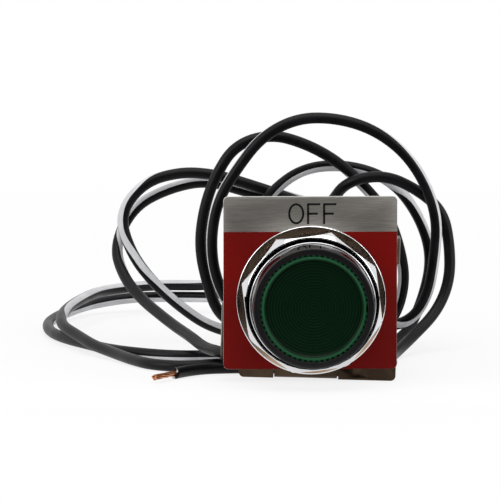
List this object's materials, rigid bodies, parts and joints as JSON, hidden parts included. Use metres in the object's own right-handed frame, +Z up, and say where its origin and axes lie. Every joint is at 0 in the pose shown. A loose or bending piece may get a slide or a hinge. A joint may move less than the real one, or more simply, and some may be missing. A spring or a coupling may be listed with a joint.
{
  "type": "illuminated pushbutton",
  "caption": "Panel-mounted round pushbutton with a green ribbed lens, octagonal locking nut, red and silver square legend plate, folded bracket, light unit, contact block and loose wire leads",
  "frame": {"origin": "middle of the base of the object without its loose leads, on the surface it stands on", "axes": "+X right and +Z up seen from the front, -Y towards the person who presses the button, +Y into the panel"},
  "size_m": [0.1114, 0.1627, 0.0641],
  "materials": {
    "legend_plate": "brushed silver aluminium sheet with a satin red printed field",
    "washer_zinc": "zinc plated, turned",
    "nut_chrome": "bright chrome plate",
    "bracket_zinc": "dull zinc plate",
    "rubber": "matt moulded rubber",
    "black_plastic": "moulded, fine grain",
    "ring_plastic": "polished sides, satin front",
    "green_lens": "dark green moulded lens",
    "lamp_glass": "clear bulb",
    "spring_steel": "drawn wire",
    "screw_steel": "zinc plated",
    "brass": "turned",
    "copper": "bare copper",
    "carrier_plastic": "moulded, natural colour",
    "lead_sleeve": "extruded vinyl, dark grey with one white stripe"
  },
  "bodies": {
    "housing": {"legend_plate": "legend_plate", "front_washer": "washer_zinc", "locking_nut": "nut_chrome", "mounting_bracket": "bracket_zinc", "panel_gasket": "rubber", "operator_body": "black_plastic", "bushing_seal": "rubber", "return_spring": "spring_steel", "lamp_socket": "brass", "lamp_base": "brass", "lamp_bulb": "lamp_glass", "light_unit": "black_plastic", "contact_block": "black_plastic", "block_cover": "black_plastic", "contact_spring": "spring_steel", "fixed_contact_left": "copper", "fixed_contact_right": "copper", "block_screws": "screw_steel", "lead_1": "lead_sleeve", "lead_2": "lead_sleeve", "lead_3": "lead_sleeve", "lead_end_1": "copper", "lead_end_2": "copper", "lead_end_3": "copper"},
    "button": {"button_ring": "ring_plastic", "bezel_trim": "nut_chrome", "lens": "green_lens", "lens_gasket": "rubber", "plunger": "black_plastic"},
    "carrier": {"contact_carrier": "carrier_plastic", "contact_bridge": "copper"}
  },
  "joints": [
    {"name": "push", "type": "slide", "parent": "housing", "child": "button", "axis": [0, 1, 0], "range_m": [0, 0.003], "stiffness_N_per_m": 1500, "deforming": ["return_spring"]},
    {"name": "carrier_slide", "type": "slide", "parent": "housing", "child": "carrier", "axis": [0, 1, 0], "range_m": [0, 0.003], "deforming": ["contact_spring"]}
  ],
  "couplings": [
    {"joint": "carrier_slide", "follows": "push", "ratio": 1}
  ]
}
